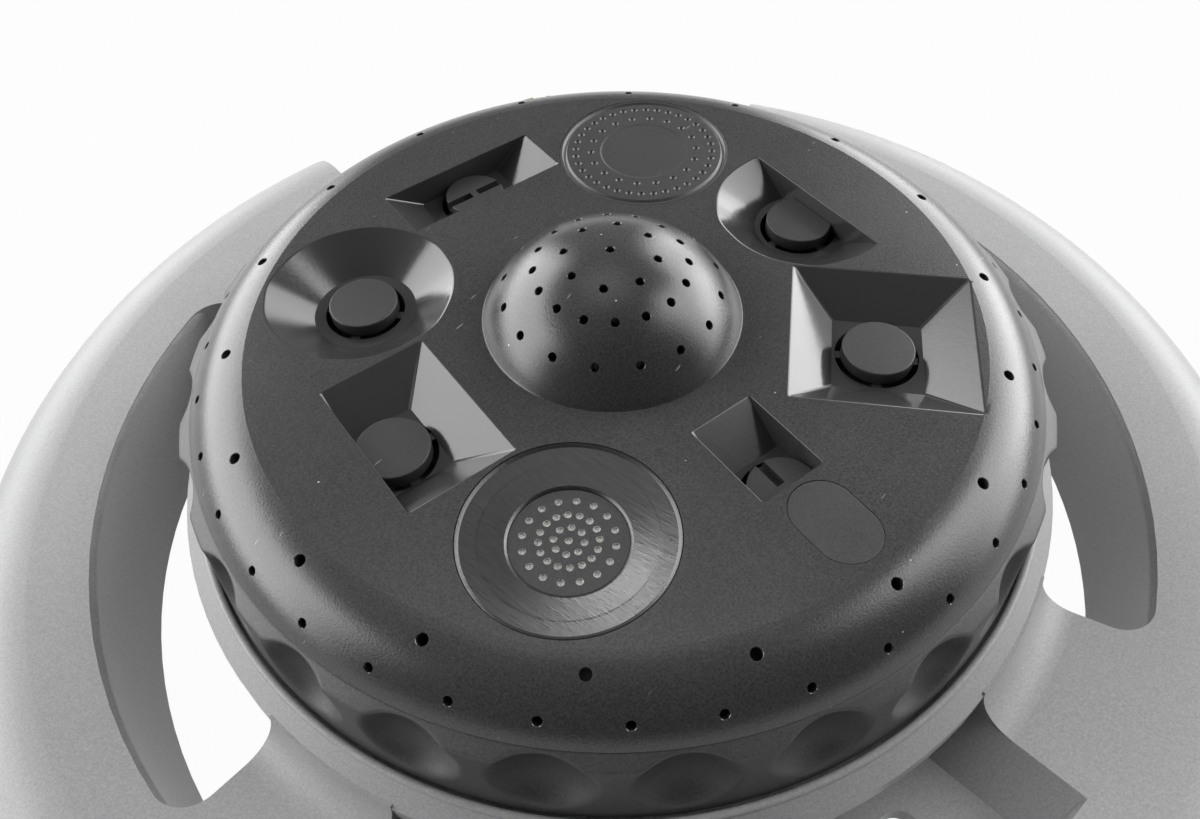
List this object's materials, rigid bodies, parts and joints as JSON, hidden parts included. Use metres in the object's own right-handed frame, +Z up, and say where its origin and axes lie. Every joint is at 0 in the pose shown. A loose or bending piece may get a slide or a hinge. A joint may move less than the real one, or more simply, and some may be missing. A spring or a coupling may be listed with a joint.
{
  "type": "turret lawn sprinkler",
  "caption": "Low ring-base lawn sprinkler with a turning nozzle turret, a perforated dome, rim jets and a swivelling hose inlet.",
  "frame": {"origin": "on the turret's turning axis, at the ground plane under the centre foot", "axes": "+Z up along the turning axis; +Y back along the hose inlet, the way the hose leaves; +X to the right seen from the front"},
  "size_m": [0.2024, 0.1861, 0.0609],
  "materials": {
    "base_coat": "satin grey coat with a fine speckle over a die casting",
    "turret_plastic": "charcoal, fine matt grain",
    "insert_plastic": "dark grey, smooth satin",
    "white_plastic": "natural white, smooth",
    "brass": "machined",
    "steel": "bright drawn wire and turned parts",
    "rubber": "matt black"
  },
  "bodies": {
    "base": {"base_casting": "base_coat", "inlet_tail": "brass", "seal_spring": "steel", "detent_spring": "steel", "thrust_washer": "white_plastic", "pivot_sleeve": "steel", "pivot_screw": "steel", "pivot_washer": "steel"},
    "turret": {"port_plate": "turret_plastic", "pivot_o_ring": "rubber", "plate_o_ring": "rubber", "grip_ring": "turret_plastic", "turret_shell": "turret_plastic", "nozzle_square": "turret_plastic", "nozzle_half_round": "turret_plastic", "nozzle_strip": "turret_plastic", "nozzle_round": "turret_plastic", "nozzle_rectangle": "turret_plastic", "nozzle_slot": "turret_plastic", "shower_dish": "insert_plastic", "shower_plate": "insert_plastic", "mist_disc": "insert_plastic", "oval_inlay": "insert_plastic"},
    "coupling": {"hose_coupling": "brass", "hose_washer": "rubber", "inlet_screen": "steel"},
    "seal": {"seal_carrier": "white_plastic", "port_seal": "rubber"},
    "detent": {"detent_plunger": "steel"}
  },
  "joints": [
    {"name": "turret_turn", "type": "hinge", "parent": "base", "child": "turret", "pos_m": [0, 0, 0.0333], "axis": [0, 0, 1], "continuous": true},
    {"name": "coupling_swivel", "type": "hinge", "parent": "base", "child": "coupling", "pos_m": [0, 0.0644, 0.0162], "axis": [0, 1, 0], "continuous": true},
    {"name": "seal_travel", "type": "slide", "parent": "base", "child": "seal", "axis": [0, 0, 1], "range_m": [-0.0012, 0], "stiffness_N_per_m": 800, "springref_m": 0.002, "deforming": ["seal_spring"]},
    {"name": "detent_travel", "type": "slide", "parent": "base", "child": "detent", "axis": [0, 0, 1], "range_m": [-0.0005, 0.0009], "stiffness_N_per_m": 1200, "springref_m": 0.002, "deforming": ["detent_spring"]}
  ]
}
